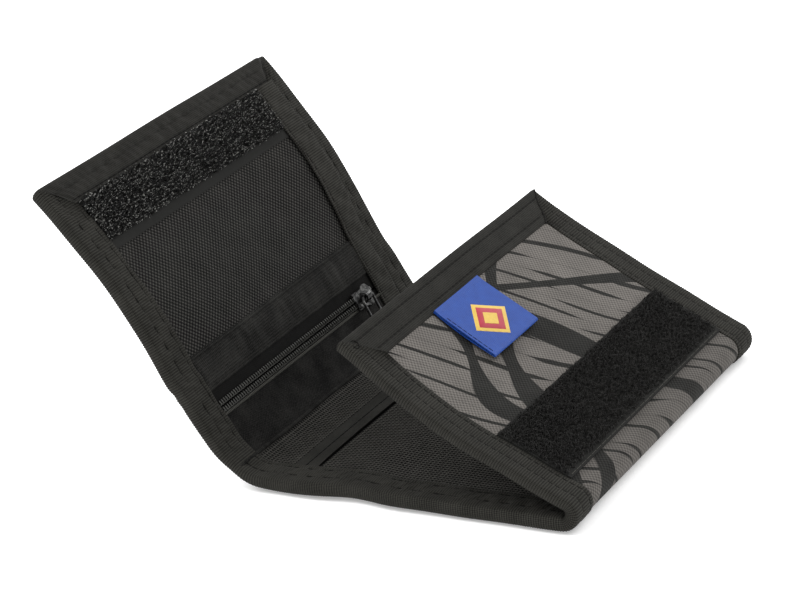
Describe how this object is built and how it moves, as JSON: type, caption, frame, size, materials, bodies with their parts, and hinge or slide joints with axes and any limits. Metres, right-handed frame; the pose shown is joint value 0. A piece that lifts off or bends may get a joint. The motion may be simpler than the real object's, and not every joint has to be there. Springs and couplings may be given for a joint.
{
  "type": "trifold fabric wallet",
  "caption": "Trifold fabric wallet: middle panel with a mesh pocket, left panel with a zipped coin pocket and hook tape, and a right flap with loop tape, printed cover and folded label.",
  "frame": {"origin": "centre of the middle panel on its outer face, where the wallet rests", "axes": "+X along the opened strip from the left panel to the right flap, +Y along the folds from the near edge to the edge with the note compartment, +Z out of the inner face of the middle panel"},
  "size_m": [0.1465, 0.115, 0.0825],
  "materials": {
    "nylon": "matte",
    "print": "matte",
    "grosgrain": "matte",
    "mesh": "matte",
    "oxford": "matte",
    "zip_tape": "matte",
    "zip_coil": "satin",
    "gunmetal": "satin",
    "hook_loop": "matte",
    "label": "satin"
  },
  "bodies": {
    "middle_panel": {"cover_middle": "print", "lining_middle": "nylon", "mesh_pocket": "mesh", "mesh_strip": "mesh", "pocket_mouth_tape": "grosgrain", "binding_front_middle": "grosgrain", "binding_back_cover_middle": "grosgrain", "binding_back_lining_middle": "grosgrain"},
    "left_spine": {"cover_spine": "print", "lining_spine": "nylon", "crease_hem": "grosgrain", "binding_front_spine": "grosgrain", "binding_back_cover_spine": "grosgrain", "binding_back_lining_spine": "grosgrain"},
    "left_panel": {"cover_left": "print", "lining_oxford": "oxford", "facing_ribbon": "grosgrain", "zip_tape_upper": "zip_tape", "zip_tape_lower": "zip_tape", "zip_coil_upper": "zip_coil", "zip_coil_lower": "zip_coil", "zip_stops": "gunmetal", "zip_piping": "grosgrain", "facing_lower": "nylon", "coin_pocket_bag": "nylon", "hook_tape": "hook_loop", "hook_field": "hook_loop", "binding_front_left": "grosgrain", "binding_back_cover_left": "grosgrain", "binding_back_lining_left": "grosgrain", "binding_end_left": "grosgrain"},
    "slider": {"slider_body": "gunmetal"},
    "pull": {"slider_pull": "gunmetal"},
    "right_flap": {"cover_flap": "print", "lining_flap": "nylon", "card_pocket_back": "nylon", "card_pocket_front": "nylon", "loop_tape": "hook_loop", "loop_pile": "hook_loop", "binding_front_flap": "grosgrain", "binding_back_flap": "grosgrain", "binding_end_flap": "grosgrain"},
    "label": {"woven_label": "label"}
  },
  "joints": [
    {"name": "left_spine_fold", "type": "hinge", "parent": "middle_panel", "child": "left_spine", "pos_m": [-0.046, 0, 0.004], "axis": [0, 1, 0], "range_deg": [-40, 50]},
    {"name": "left_panel_fold", "type": "hinge", "parent": "left_spine", "child": "left_panel", "pos_m": [-0.05289, 0, 0.00979], "axis": [0, 1, 0], "range_deg": [-20, 70]},
    {"name": "right_flap_fold", "type": "hinge", "parent": "middle_panel", "child": "right_flap", "pos_m": [0.046, 0, 0.0051], "axis": [0, -1, 0], "range_deg": [-149, 31]},
    {"name": "zip_slide", "type": "slide", "parent": "left_panel", "child": "slider", "axis": [0, 1, 0], "range_m": [-0.0693, 0]},
    {"name": "pull_swing", "type": "hinge", "parent": "slider", "child": "pull", "pos_m": [-0.05621, 0.0293, 0.01942], "axis": [0, 1, 0], "range_deg": [-160, 0]},
    {"name": "label_lift", "type": "hinge", "parent": "right_flap", "child": "label", "pos_m": [-0.00309, -0.0074, 0.03961], "axis": [0, 1, 0], "range_deg": [-80, 0], "stiffness_Nm_per_rad": 0.0002}
  ]
}
